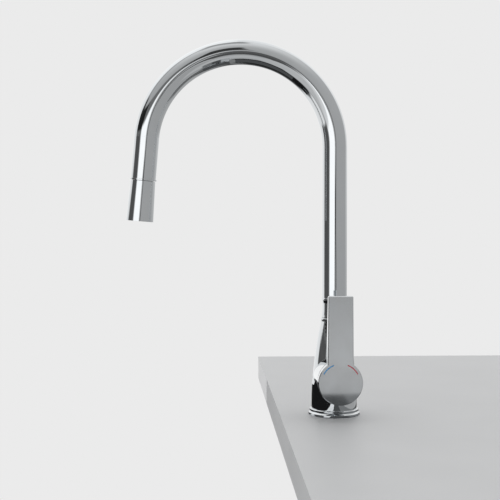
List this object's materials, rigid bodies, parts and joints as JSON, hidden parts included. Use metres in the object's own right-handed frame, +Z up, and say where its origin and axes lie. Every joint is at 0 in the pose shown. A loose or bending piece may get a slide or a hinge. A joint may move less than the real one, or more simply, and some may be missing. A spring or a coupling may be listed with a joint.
{
  "type": "kitchen mixer tap",
  "caption": "Single-lever kitchen mixer with a tall gooseneck swivel spout, a pull-out spray head and a side lever whose round disc carries an upright paddle.",
  "frame": {"origin": "centre of the base ring's underside, on the deck", "axes": "+Z up along the swivel axis, -X towards the spout's outlet, -Y towards the lever's face"},
  "size_m": [0.2349, 0.0812, 0.4309],
  "materials": {
    "chrome": "polished chrome plate",
    "chrome_satin": "chrome plate on zinc, polished face",
    "blue_enamel": "blue enamel fill",
    "red_enamel": "red enamel fill",
    "brass": "machined, unplated",
    "steel": "stainless, plain",
    "rubber": "moulded EPDM",
    "acetal_white": "moulded acetal",
    "acetal_dark": "moulded acetal",
    "ceramic": "lapped alumina",
    "braided_nylon": "braided nylon over a PEX liner"
  },
  "bodies": {
    "deck_side": {"base_ring": "chrome", "base_seal": "rubber", "tap_body": "chrome", "inlet_block": "brass", "inlet_gasket": "rubber", "mounting_shank": "brass", "deck_gasket": "rubber", "deck_washer": "steel", "mounting_nut": "brass", "jack_screws": "steel", "cartridge_base": "acetal_white", "cartridge_seals": "rubber", "fixed_disc": "ceramic", "cartridge_housing": "acetal_white", "bonnet_nut": "brass", "bonnet_dome": "chrome", "swivel_bush_lower": "acetal_dark", "swivel_bush_upper": "acetal_dark"},
    "turret": {"turret": "acetal_white", "pivot_pin": "steel"},
    "lever": {"lever_stem": "steel", "lever_handle": "chrome_satin", "lever_screw": "steel", "screw_plug": "chrome_satin", "cold_mark": "blue_enamel", "hot_mark": "red_enamel"},
    "valve_disc": {"moving_disc": "ceramic", "disc_carrier": "acetal_white"},
    "spout": {"swivel_collar": "chrome", "collar_screw": "steel", "spout_tube": "chrome", "dock_ring": "chrome", "dock_guide": "acetal_dark", "pull_out_hose": "braided_nylon"},
    "hose_end": {"hose_nipple": "brass", "hose_ferrule": "steel"},
    "spray": {"hose_nut": "brass", "hose_seal": "rubber", "spray_core": "acetal_dark", "check_valve": "acetal_white", "spray_shell": "chrome", "aerator_ring": "chrome", "aerator_insert": "acetal_dark", "aerator_seal": "rubber"}
  },
  "joints": [
    {"name": "spout_swivel", "type": "hinge", "parent": "deck_side", "child": "spout", "pos_m": [0, 0, 0.0944], "axis": [0, 0, 1], "continuous": true},
    {"name": "lever_temperature", "type": "hinge", "parent": "deck_side", "child": "turret", "pos_m": [0, -0.027, 0.0393], "axis": [0, 1, 0], "range_deg": [-45, 45]},
    {"name": "lever_lift", "type": "hinge", "parent": "turret", "child": "lever", "pos_m": [0, -0.027, 0.0393], "axis": [1, 0, 0], "range_deg": [0, 22]},
    {"name": "disc_slide", "type": "slide", "parent": "turret", "child": "valve_disc", "axis": [0, 0, 1], "range_m": [0, 0.003]},
    {"name": "spray_pull", "type": "slide", "parent": "spout", "child": "hose_end", "axis": [-0.0872, 0, -0.9962], "range_m": [0, 0.5], "stiffness_N_per_m": 6, "springref_m": -0.8},
    {"name": "spray_turn", "type": "hinge", "parent": "hose_end", "child": "spray", "pos_m": [-0.19117, 0, 0.23625], "axis": [-0.0872, 0, -0.9962], "continuous": true}
  ],
  "couplings": [
    {"joint": "disc_slide", "follows": "lever_lift", "m_per_rad": 0.007415}
  ]
}
